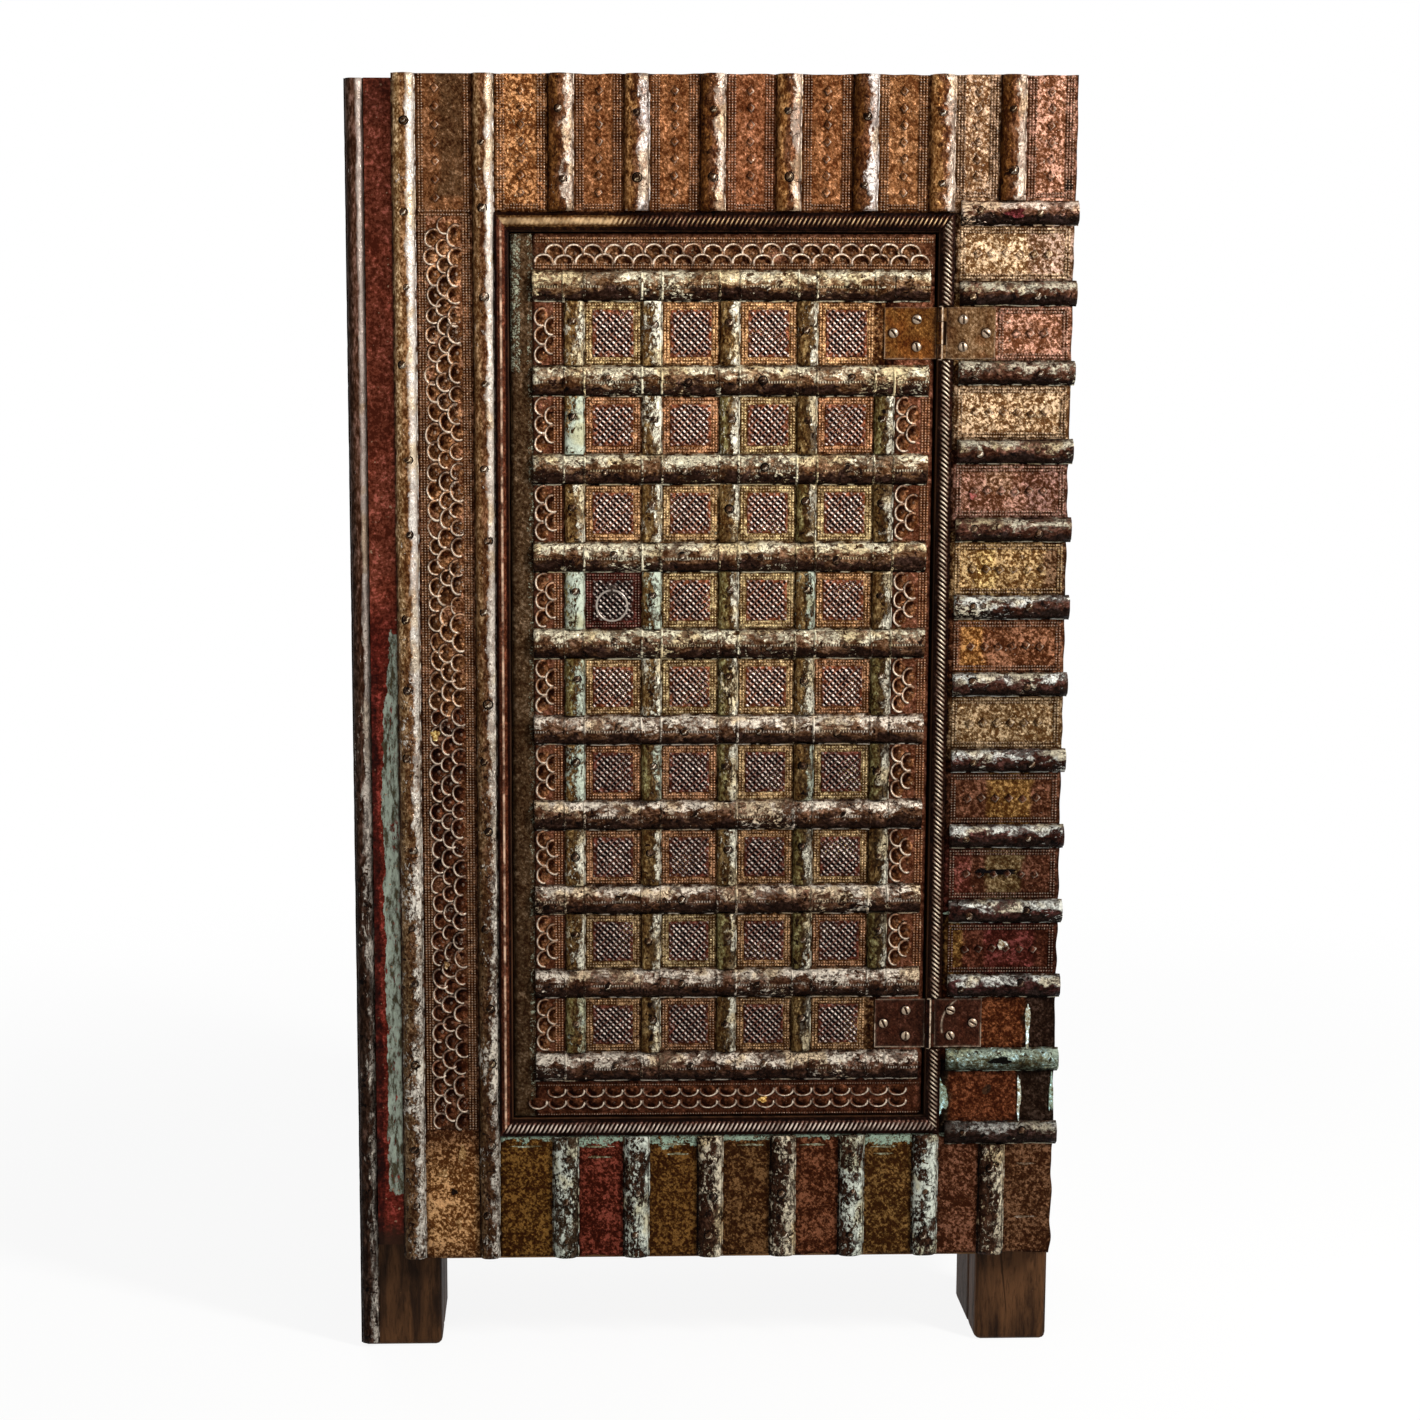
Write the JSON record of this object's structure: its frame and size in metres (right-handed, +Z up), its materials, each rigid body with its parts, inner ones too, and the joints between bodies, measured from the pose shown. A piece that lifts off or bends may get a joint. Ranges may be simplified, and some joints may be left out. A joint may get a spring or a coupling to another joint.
{
  "type": "cabinet",
  "caption": "Tall free-standing cabinet with a front of embossed metal patchwork and half-round ridges, one hinged door with a ring pull, shelves inside and block feet.",
  "frame": {"origin": "on the floor under the middle of the cabinet's bounding box", "axes": "+X to the right seen from the front, +Y to the back, +Z up; the door faces -Y"},
  "size_m": [0.972, 0.43, 1.75],
  "materials": {
    "post_wood": "dark waxed old timber with cracks",
    "carcass_wood": "dark stained planks",
    "inner_wood": "plain stained wood",
    "front_wood": "old wood behind the sheets",
    "dark_sheet_metal": "dark olive-brown rough patina",
    "red_paint": "worn maroon paint with mint green under it",
    "copper_sheet": "embossed copper-brown patina",
    "dark_copper_sheet": "dark embossed patina",
    "painted_sheet": "embossed sheets in mixed worn colours",
    "brass_ridge": "gold-brown worn to bright metal",
    "bronze_ridge": "grey-brown worn to pale metal",
    "worn_paint_ridge": "flaked cream and mint paint over dark metal",
    "cream_paint_ridge": "flaked yellow-cream paint over dark metal",
    "moulding_metal": "copper-brown rope moulding",
    "hinge_bronze": "aged bronze plate",
    "screw_steel": "worn steel",
    "dark_iron": "dark wrought iron",
    "catch_plastic": "brown plastic"
  },
  "bodies": {
    "cabinet": {"front_left_post": "post_wood", "front_right_post": "post_wood", "front_foot_blocks": "post_wood", "rear_posts": "carcass_wood", "left_side_planks": "carcass_wood", "right_side_planks": "carcass_wood", "top_boards": "carcass_wood", "back_planks": "carcass_wood", "bottom_board": "inner_wood", "lower_shelf": "inner_wood", "middle_shelf": "inner_wood", "upper_shelf": "inner_wood", "shelf_cleats": "inner_wood", "post_edge_strip": "dark_sheet_metal", "post_painted_strip": "red_paint", "left_stile": "front_wood", "top_rail": "front_wood", "right_stile": "front_wood", "bottom_rail": "front_wood", "left_stile_sheets": "copper_sheet", "top_rail_sheets": "copper_sheet", "right_stile_sheets": "painted_sheet", "bottom_rail_sheets": "painted_sheet", "left_stile_ridges": "brass_ridge", "top_rail_ridges": "bronze_ridge", "right_stile_ridges": "bronze_ridge", "bottom_rail_ridges": "worn_paint_ridge", "top_moulding": "moulding_metal", "bottom_moulding": "moulding_metal", "left_moulding": "moulding_metal", "right_moulding": "moulding_metal", "hinge_frame_leaves": "hinge_bronze", "hinge_pins": "hinge_bronze", "hinge_frame_screws": "screw_steel", "door_stop": "inner_wood", "magnetic_catch": "catch_plastic"},
    "door": {"door_planks": "inner_wood", "door_battens": "inner_wood", "door_edge_strip": "dark_sheet_metal", "door_top_scale_band": "copper_sheet", "door_bottom_scale_band": "dark_copper_sheet", "door_left_scale_column": "copper_sheet", "door_right_scale_column": "copper_sheet", "door_lattice_sheets": "dark_copper_sheet", "door_cross_bars": "cream_paint_ridge", "door_upright_ridges": "cream_paint_ridge", "hinge_door_leaves": "hinge_bronze", "hinge_door_screws": "screw_steel", "pull_boss": "dark_iron", "pull_nut": "dark_iron", "catch_plate": "screw_steel"},
    "pull_ring": {"ring": "dark_iron"}
  },
  "joints": [
    {"name": "door_hinge", "type": "hinge", "parent": "cabinet", "child": "door", "pos_m": [0.304, -0.2048, 0.943], "axis": [0, 0, 1], "range_deg": [0, 110]},
    {"name": "ring_pivot", "type": "hinge", "parent": "door", "child": "pull_ring", "pos_m": [-0.133, -0.2098, 1.0726], "axis": [-1, 0, 0], "range_deg": [0, 150]}
  ]
}
